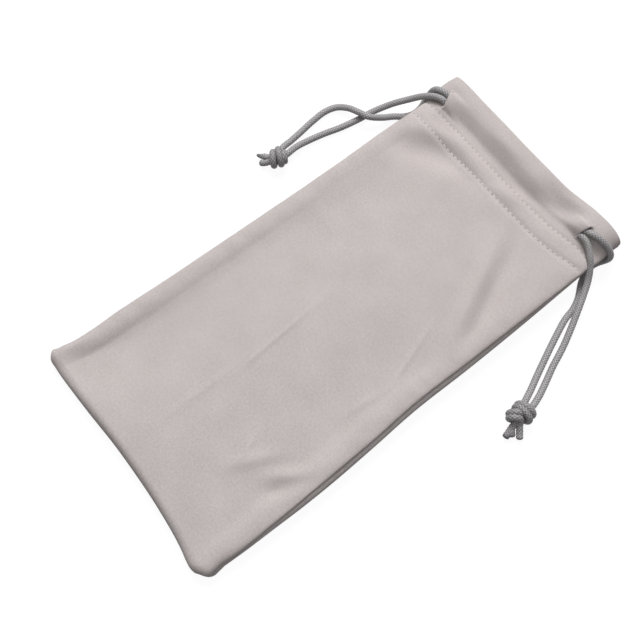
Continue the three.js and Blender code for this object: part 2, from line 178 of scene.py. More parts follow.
# Flat cloth beside a seam that stays smooth, and how far in from there the creases reach their full height
smooth_margin = 0.004
crease_ease = 0.005
# A crease has faded out this far from its middle, as a share of its length
crease_fade = 0.8
# The back's slight lift off the floor, and how far in from a seam the layers part
back_lift = 0.0002
back_ripple_size = 0.02
back_ripple_seed = 5.2
layers_ease = 0.008


def through(stations, at):
    """A smooth line through (place, value) stations, level past its two ends."""
    place, value = np.array(stations, float).T
    slope = np.gradient(value, place)
    at = np.clip(at, place[0], place[-1])
    n = np.clip(np.searchsorted(place, at) - 1, 0, len(place) - 2)
    span = place[n + 1] - place[n]
    t = (at - place[n]) / span
    rise = value[n] * (1 + 2 * t) * (1 - t) ** 2 + value[n + 1] * t * t * (3 - 2 * t)
    return rise + span * t * (1 - t) * (slope[n] * (1 - t) - slope[n + 1] * t)


# Columns of the strip, in flat cloth from seam to seam: four to a stitch, and closer at the seams
stitch_columns = 4
column_step = stitch_pitch / stitch_columns
plain_count = int((cloth_half - stitch_margin) / column_step)
plain_columns = np.arange(-plain_count, plain_count + 1) * column_step
seam_columns = np.linspace(plain_columns[-1], cloth_half, 10)[1:]
columns = np.concatenate([-seam_columns[::-1], plain_columns, seam_columns])
from_seam = cloth_half - abs(columns)
section_steps = 1 - (1 - np.linspace(0, 1, 160)) ** 2
roll_steps = np.linspace(0, math.pi / 2, 14)[1:]


def half_section(is_front, half, seam, height, tuck, roundness):
    """One side of a cut across the pouch, from its middle to the seam, as X and Z."""
    if is_front:
        half, roll = half - tuck, edge_roll
        shoulder = seam + roll
        top = shoulder + (height - shoulder) * np.sqrt(1 - section_steps ** roundness)
        turned = shoulder - roll * np.sin(roll_steps)
    else:
        roll = edge_roll + tuck
        shoulder = seam - roll
        turn = np.clip(1 - (1 - section_steps) * half / bottom_round, 0, 1)
        top = height + (shoulder - height) * (1 - np.sqrt(1 - turn ** 2))
        turned = shoulder + roll * np.sin(roll_steps)
    x = np.concatenate([half * section_steps, half - roll * (1 - np.cos(roll_steps))])
    return x, np.concatenate([top, turned])


def stitch_pull(y):
    """How far the two rows draw the cloth in."""
    near = min(abs(y - upper_row_y), abs(y - lower_row_y))
    return groove_depth * math.exp(-(near / groove_width) ** 2)


def panel_line(is_front, y):
    """The outer face along one line across the front or the back, one point to a column."""
    seam = through(seam_line, y)
    roundness = np.interp(y, *zip(*side_roundness))
    height = through(crown_line, y) - stitch_pull(y) if is_front else stitch_pull(y)
    line = np.zeros((len(columns), 3))
    for side, outline, tuck in ((-1, left_side, left_tuck), (1, right_side, right_tuck)):
        x, z = half_section(is_front, through(outline, y), seam, height, through(tuck, y), roundness)
        run = np.concatenate([[0], np.cumsum(np.hypot(np.diff(x), np.diff(z)))])
        chosen = columns * side >= 0
        share = abs(columns[chosen]) / cloth_half * run[-1]
        line[chosen, 0] = side * np.interp(share, run, x)
        line[chosen, 2] = np.interp(share, run, z)
    line[:, 1] = y
    return line


def crease(x, y, start, end, width, height):
    """A soft ridge along a straight line, fading out past its ends."""
    (x0, y0), (x1, y1) = start, end
    length = math.hypot(x1 - x0, y1 - y0)
    along = ((x - x0) * (x1 - x0) + (y - y0) * (y1 - y0)) / length ** 2
    off = ((x - x0) * (y1 - y0) - (y - y0) * (x1 - x0)) / length
    fade = np.cos(math.pi / 2 * np.clip((along - 0.5) / crease_fade, -1, 1)) ** 2
    return height * fade * np.exp(-(off / width) ** 2)


def ripple(x, y, size, seed):
    """Smooth chance unevenness with bumps of about the given size, from -1 to 1."""
    flat = [noise.noise(Vector((a / size, b / size, seed))) for a, b in zip(x.ravel(), y.ravel())]
    return np.array(flat).reshape(x.shape)


def skewed(places):
    """Moves the lines of the cloth to where the drawn mouth and the worked closed end hold them."""
    x, y = places[..., 0], places[..., 1]
    stations = [run_start_y, lower_row_y, upper_row_y, mouth_y]
    shift = through(lower_run, x) * np.interp(y, stations, [0, 1, 0, 0])
    shift += through(upper_run, x) * np.interp(y, stations, [0, 0, 1, 0])
    shift += through(mouth_run, x) * np.interp(y, stations, [0, 0, 0, 1])
    shift += through(closed_run, x) * np.interp(y, [closed_y, closed_run_end_y], [1, 0]) ** 2
    places[..., 1] += shift
    return places


# Lines of the strip along the pouch: the front's from the fold to the mouth, the back's the other way
front_y = np.concatenate([
    np.linspace(fold_y, hem_edge_y, 131),
    np.linspace(hem_edge_y, lower_row_y, 7)[1:],
    np.linspace(lower_row_y, upper_row_y, 14)[1:],
    np.linspace(upper_row_y, lip_y, 31)[1:],
])
back_y = np.concatenate([
    np.linspace(lip_y, upper_row_y, 13),
    np.linspace(upper_row_y, lower_row_y, 7)[1:],
    np.linspace(lower_row_y, hem_edge_y, 4)[1:],
    np.linspace(hem_edge_y, fold_y, 41)[1:],
])
front = np.array([panel_line(True, y) for y in front_y])
back = np.array([panel_line(False, y) for y in back_y])

# Creases and unevenness of the front, which fade out towards the seams, and small puckers along them
front_x, front_line_y = front[..., 0], front[..., 1]
relief = sum(crease(front_x, front_line_y, *ridge) for ridge in front_creases)
for height, size, seed in front_ripples:
    relief = relief + height * ripple(front_x, front_line_y, size, seed)
for side, outline, sag_depth, sag_inset, sag_width in (
    (-1, left_side, left_sag, left_sag_inset, left_sag_width),
    (1, right_side, right_sag, right_sag_inset, right_sag_width),
):
    from_lowest = through(outline, front_line_y) - side * front_x - through(sag_inset, front_line_y)
    width = np.where(from_lowest < 0, sag_width, sag_inner_width)
    relief = relief - through(sag_depth, front_line_y) * np.exp(-(from_lowest / width) ** 2)
puckers = pucker_height * ripple(np.sign(front_x) * seams_apart, front_line_y, pucker_length, pucker_seed)
front[..., 2] += relief * np.clip((from_seam - smooth_margin) / crease_ease, 0, 1)
front[..., 2] += puckers * np.exp(-((from_seam - smooth_margin) / pucker_width) ** 2)
lift = back_lift * (1 + ripple(back[..., 0], back[..., 1], back_ripple_size, back_ripple_seed))
back[..., 2] += lift * np.clip(from_seam / layers_ease, 0, 1)

# Each needle hole is a small dip
hole_number = np.round(columns / stitch_pitch)
is_hole = np.isclose(hole_number * stitch_pitch, columns) & (from_seam > stitch_margin)
for row_y in (upper_row_y, lower_row_y):
    front[np.argmin(abs(front_y - row_y)), is_hole, 2] -= needle_dip
    back[np.argmin(abs(back_y - row_y)), is_hole, 2] += needle_dip

# The strip turns round the closed end from the back to the front, and its corners are drawn in
corner_taper = 0.3
fold_turns = np.linspace(math.pi, 0, 21)[1:-1]
fold = np.zeros((len(fold_turns), len(columns), 3))
fold_seam = through(seam_line, closed_y)
for line, turn in zip(fold, fold_turns):
    y = fold_y - fold_length * math.sin(turn)
    panel_end = front[0] if turn <= math.pi / 2 else back[-1]
    side_here = np.where(columns < 0, through(left_side, y), through(right_side, y))
    side_at_fold = np.where(columns < 0, through(left_side, fold_y), through(right_side, fold_y))
    share = turn / math.pi
    line[:, 0] = side_here / side_at_fold * ((1 - share) * front[0, :, 0] + share * back[-1, :, 0])
    reach = side_here - 2 * edge_roll - corner_taper * from_seam
    drawn_in = np.sign(columns) * np.minimum(abs(line[:, 0]), reach)
    line[:, 0] += (drawn_in - line[:, 0]) * math.sin(turn) ** 4
    line[:, 1] = y
    line[:, 2] = fold_seam + (panel_end[:, 2] - fold_seam) * abs(math.cos(turn))

# The turned-in hem lies as far inside its panel as the cloth, and the cords in the casing, take up
hem_depth = [(hem_edge_y, 0.0013), (lower_row_y, 0.0012), (upper_row_y, 0.0012), (0.0740, 0.0040),
             (0.0835, 0.0043), (lip_y, 0.0018)]
mouth_half = through(right_side, mouth_y)


def hem_lines(panel, lines_y, is_front):
    """The lines of the hem under the lines of a panel."""
    hem = panel.copy()
    for line, y in zip(hem, lines_y):
        depth = np.interp(y, *zip(*hem_depth))
        line[:, 2] += (-depth if is_front else depth) * np.clip(from_seam / layers_ease, 0, 1)
        line[:, 0] *= (mouth_half - depth) / mouth_half
    return hem


def lip_lines(outer, inner):
    """The roll over the mouth, from the outer face to the hem."""
    middle, reach = (outer + inner) / 2, (outer - inner) / 2
    forward = np.array((0, lip_radius, 0))
    turns = np.linspace(0, math.pi, 9)[1:-1]
    return np.array([middle + reach * math.cos(turn) + forward * math.sin(turn) for turn in turns])


front_hem_start = int(np.argmin(abs(front_y - hem_edge_y)))
back_hem_end = int(np.argmin(abs(back_y - hem_edge_y))) + 1
front_hem = hem_lines(front[front_hem_start:], front_y[front_hem_start:], True)
back_hem = hem_lines(back[:back_hem_end], back_y[:back_hem_end], False)
front_lip = lip_lines(front[-1], front_hem[-1])
back_lip = lip_lines(back[0], back_hem[0])[::-1]
strip = skewed(np.concatenate([back_hem[:1], back_lip, back, fold, front, front_lip, front_hem[-1:]]))
front_hem = skewed(front_hem)
back_hem = skewed(back_hem)
front_start = 1 + len(back_lip) + len(back) + len(fold)
back_start = 1 + len(back_lip)

# Flat cloth along the strip from the closed end: above zero on the front, below it on the back
flat_length = mouth_y - closed_y
lip_flat = flat_length + np.linspace(0, math.pi * lip_radius, len(front_lip) + 2)[1:]
fold_flat = fold_length * (1 - 2 * fold_turns / math.pi)
strip_flat = np.concatenate([-lip_flat[::-1], closed_y - back_y, fold_flat, front_y - closed_y, lip_flat])

# Each slit parts the strip along one column: the cords lift its inner lip and press the outer one down
slit_lift = {"left": 0.0021, "right": 0.0022}
slit_press = 0.0002
slit_half = {"left": 0.0032, "right": 0.0026}
lift_reach = 0.0050
press_reach = 0.0040
slit_cuts = []
pressed_lips = {}
for side_name, side in (("left", -1), ("right", 1)):
    lower_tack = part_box(f"{side_name}_slit_lower_tack")
    upper_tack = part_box(f"{side_name}_slit_upper_tack")
    slit_x = (lower_tack[0].x + lower_tack[1].x) / 2
    slit_y = (lower_tack[0].y + upper_tack[1].y) / 2
    panel = strip[front_start:]
    from_slit = np.hypot(panel[..., 0] - slit_x, panel[..., 1] - slit_y)
    column = np.unravel_index(np.argmin(from_slit), from_slit.shape)[1]
    along = panel[..., 1] - slit_y
    cut_rows = [front_start + n for n in np.flatnonzero(abs(along[:, column]) < slit_half[side_name])]
    slit_cuts.append((column, cut_rows))
    open_here = np.clip(1 - (along / slit_half[side_name]) ** 4, 0, 1)
    off = panel[..., 0] - panel[:, column:column + 1, 0]
    lifted = slit_lift[side_name] * open_here * np.exp(-(off / lift_reach) ** 2)
    pressed = -slit_press * open_here * np.exp(-(off / press_reach) ** 2)
    for row in cut_rows:
        pressed_lips[row, column] = strip[row, column] + (0, 0, pressed[row - front_start, column])
    panel[..., 2] += np.where(off * side <= 1e-7, lifted, pressed)


def cloth_sheet(places, flat, cuts=()):
    """A sheet of cloth through lines of places, with a UV map of the flat cloth in metres."""
    row_last, column_last = places.shape[0] - 1, places.shape[1] - 1
    bm = bmesh.new()
    bmesh.ops.create_grid(bm, x_segments=column_last, y_segments=row_last, size=0.5)
    cloth_map = bm.loops.layers.uv.new("cloth")
    bm.verts.ensure_lookup_table()
    for column, rows in cuts:
        on_cut = {bm.verts[row * (column_last + 1) + column] for row in rows}
        bmesh.ops.split_edges(bm, edges=[edge for edge in bm.edges if on_cut.issuperset(edge.verts)])
        bm.verts.ensure_lookup_table()
    sewn = []
    for vert in bm.verts:
        row = round((vert.co.y + 0.5) * row_last)
        column = round((vert.co.x + 0.5) * column_last)
        for loop in vert.link_loops:
            loop[cloth_map].uv = columns[column], flat[row]
        middle = sum(face.calc_center_median().x for face in vert.link_faces) / len(vert.link_faces)
        is_outer = (middle - vert.co.x) * vert.co.x > 0 and len(vert.link_faces) == 2
        is_pressed = cuts and is_outer and (row, column) in pressed_lips
        sewn.append(pressed_lips[row, column] if is_pressed else places[row, column])
    for vert, place in zip(bm.verts, sewn):
        vert.co = place
    return bm


def linear(hex_colour):
    """An sRGB hex colour in linear light."""
    parts = [int(hex_colour[n:n + 2], 16) / 255 for n in (1, 3, 5)]
    return *[c / 12.92 if c <= 0.04045 else ((c + 0.055) / 1.055) ** 2.4 for c in parts], 1


def add_node(material, kind, inputs=(), **settings):
    """Adds a node with its settings, and its inputs as values or as links from other nodes."""
    node = material.node_tree.nodes.new(kind)
    for name, value in settings.items():
        setattr(node, name, value)
    for name, value in dict(inputs).items():
        if isinstance(value, bpy.types.NodeSocket):
            material.node_tree.links.new(value, node.inputs[name])
        else:
            node.inputs[name].default_value = value
    return node


def add_piece(name, bm, material, slot, *nodes):
    """Makes a bmesh a smooth piece that stands for its CAD nodes."""
    mesh = bpy.data.meshes.new(name)
    for face in bm.faces:
        face.smooth = True
    bm.to_mesh(mesh)
    bm.free()
    mesh.materials.append(material)
    piece = bpy.data.objects.new(name, mesh)
    bpy.context.scene.collection.objects.link(piece)
    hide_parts(*nodes)
    return piece


def add_material(name, **constants):
    """A material with its unchanging values on the shader's own sockets."""
    material = bpy.data.materials.new(name)
    material.use_nodes = True
    shader = material.node_tree.nodes["Principled BSDF"]
    for socket, value in constants.items():
        shader.inputs[socket.replace("_", " ")].default_value = value
    return material, shader


# Brushed microfibre: a fine warp-knit polyester with a short nap. The eye sees a matt, even, warm grey with
# a faint knit grain and slight clouding where the nap lies differently; each needle hole is a dot of painted
# shade.
# The knit's real courses are about 0.3 mm apart, too fine to show, so they are drawn twice as far apart.
rib_spacing = 0.0006
wale_spacing = 0.0007
nap_size = 0.0008
cloud_size = 0.012
hole_dark_radius = 0.000126
hole_edge_radius = 0.00027
# A wave texture of scale 1 repeats over this length
wave_repeat = math.pi / 10
microfibre, shader = add_material(
    "brushed_microfibre", Roughness=0.92, Specular_IOR_Level=0.25, Sheen_Weight=0.05, Sheen_Roughness=0.5,
)
shader.inputs["Sheen Tint"].default_value = linear("#d8d2d0")
cloth_uv = add_node(microfibre, "ShaderNodeUVMap", uv_map="cloth").outputs["UV"]
ribs = add_node(microfibre, "ShaderNodeTexWave", {
    "Vector": cloth_uv, "Scale": wave_repeat / rib_spacing,
    "Distortion": 1.5, "Detail": 2, "Detail Scale": 0.5,
}, bands_direction="Y")
wales = add_node(microfibre, "ShaderNodeTexWave", {
    "Vector": cloth_uv, "Scale": wave_repeat / wale_spacing,
    "Distortion": 2.0, "Detail": 2, "Detail Scale": 0.5,
}, bands_direction="X")
nap = add_node(microfibre, "ShaderNodeTexNoise", {"Vector": cloth_uv, "Scale": 1 / nap_size, "Detail": 2})
clouds = add_node(microfibre, "ShaderNodeTexNoise", {
    "Vector": cloth_uv, "Scale": 1 / cloud_size, "Detail": 5,
})
knit = add_node(microfibre, "ShaderNodeMix", {
    "Factor": 0.7, "A": ribs.outputs["Fac"], "B": wales.outputs["Fac"],
})
pile = add_node(microfibre, "ShaderNodeMix", {
    "Factor": 0.75, "A": knit.outputs["Result"], "B": nap.outputs["Fac"],
})
tone = add_node(microfibre, "ShaderNodeMix", {
    "Factor": 0.3, "A": pile.outputs["Result"], "B": clouds.outputs["Fac"],
})
cloth_colour = add_node(microfibre, "ShaderNodeValToRGB", {"Fac": tone.outputs["Result"]})
cloth_colour.color_ramp.elements[0].position = 0.25
cloth_colour.color_ramp.elements[0].color = linear("#b2a9a7")
cloth_colour.color_ramp.elements[1].position = 0.75
cloth_colour.color_ramp.elements[1].color = linear("#cdc5c3")

# The distance to the nearest needle hole, along the flat cloth, which places a dot of painted shade at each
# hole
cloth_place = add_node(microfibre, "ShaderNodeSeparateXYZ", {"Vector": cloth_uv})
hole_across = add_node(microfibre, "ShaderNodeMath", {
    0: cloth_place.outputs["X"], 1: -stitch_pitch / 2, 2: stitch_pitch / 2,
}, operation="WRAP")
from_end = add_node(microfibre, "ShaderNodeMath", {0: cloth_place.outputs["Y"]}, operation="ABSOLUTE")
row_middle = (upper_row_y + lower_row_y) / 2 - closed_y
from_middle = add_node(microfibre, "ShaderNodeMath", {
    0: from_end.outputs[0], 1: row_middle,
}, operation="SUBTRACT")
off_middle = add_node(microfibre, "ShaderNodeMath", {0: from_middle.outputs[0]}, operation="ABSOLUTE")
hole_along = add_node(microfibre, "ShaderNodeMath", {
    0: off_middle.outputs[0], 1: (upper_row_y - lower_row_y) / 2,
}, operation="SUBTRACT")
hole_offset = add_node(microfibre, "ShaderNodeCombineXYZ", {
    "X": hole_across.outputs[0], "Y": hole_along.outputs[0],
})
hole_distance = add_node(microfibre, "ShaderNodeVectorMath", {0: hole_offset.outputs[0]}, operation="LENGTH")
hole_shade = add_node(microfibre, "ShaderNodeMapRange", {
    "Value": hole_distance.outputs["Value"], "From Min": hole_dark_radius, "From Max": hole_edge_radius,
    "To Min": 1.0, "To Max": 0.0,
})
# Painted shade: the cloth's colour darkens to #857d7b in a small dot at each needle hole
with_hole_shade = add_node(microfibre, "ShaderNodeMix", {
    "Factor": hole_shade.outputs["Result"], "A": cloth_colour.outputs["Color"], "B": linear("#857d7b"),
}, data_type="RGBA")
microfibre.node_tree.links.new(with_hole_shade.outputs["Result"], shader.inputs["Base Color"])
bump = add_node(microfibre, "ShaderNodeBump", {
    "Height": pile.outputs["Result"], "Strength": 0.3, "Distance": 0.00010,
})
microfibre.node_tree.links.new(bump.outputs["Normal"], shader.inputs["Normal"])


def gather(piece):
    """Bakes a piece's placing into its mesh."""
    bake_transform(piece)


def thicken(piece, layers=1):
    """Gives a sheet the thickness of its layers of cloth, inwards from its outer face."""
    wall = piece.modifiers.new("cloth thickness", "SOLIDIFY")
    wall.thickness = cloth_thickness * layers
    wall.offset = -1


pouch_sheet = cloth_sheet(strip, strip_flat, slit_cuts)
pouch = add_piece("pouch_strip", pouch_sheet, microfibre, "microfibre", "pouch_cloth")
thicken(pouch)
gather(pouch)

# Turned-in hems: the two ends of the same strip, folded into the mouth and held by both stitched rows.
# The room that each leaves under its panel is the casing for the cords.
hem_start_flat = flat_length + math.pi * lip_radius
front_hem_flat = hem_start_flat + (lip_y - front_y[front_hem_start:])
back_hem_flat = -hem_start_flat - (lip_y - back_y[:back_hem_end])
for hem_name, places, flat in (
    ("front_hem", front_hem, front_hem_flat), ("back_hem", back_hem, back_hem_flat),
):
    hem_sheet = cloth_sheet(places[::-1], flat[::-1])
    hem = add_piece(f"{hem_name}_turn", hem_sheet, microfibre, "microfibre", hem_name)
    thicken(hem)
    gather(hem)

# Stitched rows: two lines of lockstitch in polyester thread, which hold the hem all round the mouth.
# Each stitch is a short grain of thread drawn into the cloth between two needle holes.
thread_width = 0.00030
thread_height = 0.00024

# Spun polyester thread: short fibres twisted together. The eye sees a soft line, paler than the cloth.
thread_fibre_size = 0.0003
thread, shader = add_material(
    "spun_polyester_thread", Roughness=0.75, Specular_IOR_Level=0.3, Sheen_Weight=0.2,
)
thread_place = add_node(thread, "ShaderNodeTexCoord").outputs["Object"]
twist = add_node(thread, "ShaderNodeTexNoise", {
    "Vector": thread_place, "Scale": 1 / thread_fibre_size, "Detail": 2,
})
thread_colour = add_node(thread, "ShaderNodeValToRGB", {"Fac": twist.outputs["Fac"]})
thread_colour.color_ramp.elements[0].color = linear("#d2cbc9")
thread_colour.color_ramp.elements[1].color = linear("#e6e1df")
thread.node_tree.links.new(thread_colour.outputs["Color"], shader.inputs["Base Color"])


def add_grain(bm, centre, ahead, normal, length, width=thread_width, height=thread_height):
    """A grain of thread: a stretched ball that lies along one direction on the cloth."""
    ahead = Vector(ahead).normalized()
    across = Vector(normal).cross(ahead).normalized()
    up = ahead.cross(across)
    shape = Matrix((ahead * length / 2, across * width / 2, up * height / 2)).transposed().to_4x4()
    shape.translation = Vector(centre)
    bmesh.ops.create_uvsphere(bm, u_segments=10, v_segments=6, radius=1, matrix=shape)


for row_name, row_y, stitch_length, stitch_width in (
    ("upper_stitch_row", upper_row_y, 0.0013, 0.00026), ("lower_stitch_row", lower_row_y, 0.0014, 0.00032),
):
    bm = bmesh.new()
    for panel_start, panel_y in ((front_start, front_y), (back_start, back_y)):
        row = panel_start + int(np.argmin(abs(panel_y - row_y)))
        for column in np.flatnonzero(is_hole)[:-1]:
            middle = column + stitch_columns // 2
            ahead = strip[row, column + stitch_columns] - strip[row, column]
            sideways = strip[row + 1, middle] - strip[row - 1, middle]
            normal = np.cross(ahead, sideways) / np.linalg.norm(np.cross(ahead, sideways))
            add_grain(bm, strip[row, middle], ahead, normal, stitch_length, stitch_width, stitch_width)
    gather(add_piece(f"{row_name}_thread", bm, thread, "thread", row_name))

# Side seams: the raw edges of the strip, two layers of the same cloth, lie pressed together inside the pouch.
# A line of stitches beside the turned edge joins them, and nothing of it shows outside.
allowance = 0.006
allowance_inset = 0.0004
allowance_drop = 0.0020
seam_stitch_pitch = 0.0025
seam_stitch_length = 0.0021
seam_stitch_inset = 0.0014
seam_start = 0.001
seam_y = np.arange(fold_y + seam_start, hem_edge_y, seam_stitch_pitch)
for side_name, side, outline, tuck, body in (
    ("left", -1, left_side, left_tuck, "left_side"), ("right", 1, right_side, right_tuck, "pouch"),
):
    seam_x = through(outline, seam_y) - through(tuck, seam_y) - edge_roll
    share = np.linspace(0, 1, 6)
    edges = np.zeros((len(seam_y), len(share), 3))
    edges[..., 0] = side * (seam_x[:, None] - allowance_inset - allowance * share)
    edges[..., 1] = seam_y[:, None]
    edges[..., 2] = through(seam_line, seam_y)[:, None] - allowance_drop * share + cloth_thickness
    if side > 0:
        edges = edges[:, ::-1]
    edge_sheet = cloth_sheet(edges, seam_y - closed_y)
    pressed_edges = add_piece(
        f"{side_name}_seam_edges", edge_sheet, microfibre, "microfibre", f"{side_name}_seam_allowance")
    thicken(pressed_edges, layers=2)
    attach(pressed_edges, body)
    bm = bmesh.new()
    stitch_x = side * (seam_x - seam_stitch_inset)
    for place in zip(stitch_x, seam_y, through(seam_line, seam_y) + cloth_thickness):
        add_grain(bm, place, (0, 1, 0), (0, 0, 1), seam_stitch_length)
    seam_thread = add_piece(f"{side_name}_seam_stitches", bm, thread, "thread", f"{side_name}_seam_thread")
    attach(seam_thread, body)

# Bar tacks: a few close stitches of the same thread across each end of a slit, sewn through the front.
# They stop the slit from tearing on when the cords are pulled.
tack_length = 0.0009
tack_thread_width = 0.00021
tack_stitches = 3
tack_pitch = 0.0003
for (column, rows), side_name, body in zip(slit_cuts, ("left", "right"), ("left_side", "pouch")):
    for end_name, row in (("lower", rows[0]), ("upper", rows[-1])):
        bm = bmesh.new()
        ahead = strip[row, column + 1] - strip[row, column - 1]
        along_slit = strip[row + 1, column] - strip[row - 1, column]
        for n in range(tack_stitches):
            centre = strip[row, column] + np.array((0, (n - (tack_stitches - 1) / 2) * tack_pitch, 0))
            add_grain(bm, centre, ahead, np.cross(ahead, along_slit), tack_length, tack_thread_width)
        slit_end = f"{side_name}_slit_{end_name}"
        tack = add_piece(f"{slit_end}_bar", bm, thread, "thread", f"{slit_end}_tack")
        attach(tack, body)

# Cords in the casing: each drawcord lies right round the mouth inside the hem, and both its ends leave it
# through one slit. The cord is a braid of twelve polyester yarns, six each way.
cord_diameter = 0.0024
yarns_each_way = 6
braid_sides = 60
braid_repeat = 0.00105
braid_depth = 0.00022
melted_crown = 0.25
ring_spacing = 0.00014
end_round = 0.0007


def smooth_route(points, spacing):
    """Evenly spaced places on one smooth curve through the points."""
    points = np.array(points, float)
    pace = np.concatenate([[0], np.cumsum(np.linalg.norm(np.diff(points, axis=0), axis=1) ** 0.5)])
    fine = np.linspace(0, pace[-1], 60 * len(points))
    run = np.column_stack([through(np.column_stack([pace, points[:, k]]), fine) for k in range(3)])
    length = np.concatenate([[0], np.cumsum(np.linalg.norm(np.diff(run, axis=0), axis=1))])
    even = np.linspace(0, length[-1], max(2, round(length[-1] / spacing)) + 1)
    return np.column_stack([np.interp(even, length, run[:, k]) for k in range(3)])


def add_braid(bm, route, sides=braid_sides, melted=0.0, flare=0.0, lobes=0.0, crown_light_share=1.0):
    """A braided tube along a route, closed at both ends; the far end may be melted and spread."""
    crown = bm.verts.layers.float.get("crown") or bm.verts.layers.float.new("crown")
    ahead = np.gradient(route, axis=0)
    ahead /= np.linalg.norm(ahead, axis=1)[:, None]
    across = np.zeros_like(route)
    across[0] = np.cross(ahead[0], (0.3, 0.2, 1))
    for n in range(len(route)):
        carried = across[max(n - 1, 0)]
        carried = carried - ahead[n] * np.dot(carried, ahead[n])
        across[n] = carried / np.linalg.norm(carried)
    up = np.cross(ahead, across)
    along = np.concatenate([[0], np.cumsum(np.linalg.norm(np.diff(route, axis=0), axis=1))])[:, None]
    turn = np.linspace(0, 2 * math.pi, sides + 1)[None, :]
    one_way = yarns_each_way * turn / (2 * math.pi) + along / braid_repeat
    other_way = yarns_each_way * turn / (2 * math.pi) - along / braid_repeat
    one_yarn = np.sqrt(1 - (2 * (one_way - np.round(one_way))) ** 2)
    other_yarn = np.sqrt(1 - (2 * (other_way - np.round(other_way))) ** 2)
    one_lift = np.cos(math.pi * (other_way + np.round(one_way)))
    other_lift = -np.cos(math.pi * (one_way + np.round(other_way)))
    height = np.maximum(one_yarn + one_lift, other_yarn + other_lift) / 2
    to_end = along[-1] - along
    fused = np.clip(1 - to_end / melted, 0, 1) if melted else np.zeros_like(along)
    height = height * (1 - fused) + melted_crown * fused
    radius = cord_diameter / 2 - braid_depth * (1 - height)
    radius = radius * (1 + fused * (flare + lobes * np.cos(turn) ** 2 - lobes * np.sin(turn) ** 2))
    near_end = np.clip(np.minimum(along, to_end) / end_round, 0, 1)
    radius = radius * np.sqrt(1 - (1 - near_end) ** 2)
    places = (route[:, None] + radius[..., None] * (
        np.cos(turn)[..., None] * across[:, None] + np.sin(turn)[..., None] * up[:, None]))
    tube = bmesh.ops.create_grid(bm, x_segments=sides, y_segments=len(route) - 1, size=0.5)["verts"]
    for vert, place, lift in zip(tube, places.reshape(-1, 3), height.ravel()):
        vert.co = place
        # A share below one paints shade over the yarns' crown highlight
        vert[crown] = lift * crown_light_share
    bmesh.ops.remove_doubles(bm, verts=tube, dist=1e-7)


# Braided polyester cord: filament yarns, with painted highlight on their crowns and painted shade in the
# gaps.
yarn_fibre_size = 0.0004
braid, shader = add_material(
    "braided_polyester_cord", Roughness=0.5, Specular_IOR_Level=0.4, Sheen_Weight=0.15, Sheen_Roughness=0.4,
)
crown_light = add_node(braid, "ShaderNodeAttribute", attribute_name="crown").outputs["Fac"]
cord_place = add_node(braid, "ShaderNodeTexCoord").outputs["Object"]
fibres = add_node(braid, "ShaderNodeTexNoise", {
    "Vector": cord_place, "Scale": 1 / yarn_fibre_size, "Detail": 3,
})
yarn_tone = add_node(braid, "ShaderNodeMix", {
    "Factor": 0.2, "A": crown_light, "B": fibres.outputs["Fac"],
})
# The yarns' height sets painted shade in the gaps between them and a painted highlight on their crowns
yarn_colour_and_light = add_node(braid, "ShaderNodeValToRGB", {"Fac": yarn_tone.outputs["Result"]})
yarn_colour_and_light.color_ramp.elements[0].position = 0.18
yarn_colour_and_light.color_ramp.elements[0].color = linear("#444347")
yarn_colour_and_light.color_ramp.elements[1].position = 0.90
yarn_colour_and_light.color_ramp.elements[1].color = linear("#b8b5b4")
yarn_colour_and_light.color_ramp.elements.new(0.50).color = linear("#828083")
braid.node_tree.links.new(yarn_colour_and_light.outputs["Color"], shader.inputs["Base Color"])

# Inside the casing the cord doesn't show, so its rings are coarser; its route takes every sixth column
casing_sides = 24
casing_spacing = 0.0004
casing_stride = 6
slit_clearance = 4
front_middle = (strip[front_start + front_hem_start:front_start + len(front_y)] + front_hem) / 2
back_middle = (strip[back_start:back_start + back_hem_end] + back_hem) / 2
for (column, rows), side_name in zip(slit_cuts, ("left", "right")):
    casing_node = f"{side_name}_cord_in_casing"
    casing_y = row_place(casing_node)
    front_line = front_middle[np.argmin(abs(front_y[front_hem_start:] - casing_y))]
    back_line = back_middle[np.argmin(abs(back_y[:back_hem_end] - casing_y))]
    ring = np.concatenate([
        front_line[column + slit_clearance:-casing_stride:casing_stride],
        back_line[-casing_stride:casing_stride:-casing_stride],
        front_line[casing_stride:column - slit_clearance + 1:casing_stride],
    ])
    bm = bmesh.new()
    add_braid(bm, smooth_route(ring, casing_spacing), casing_sides)
    gather(add_piece(f"{side_name}_casing_cord", bm, braid, "cord", casing_node))

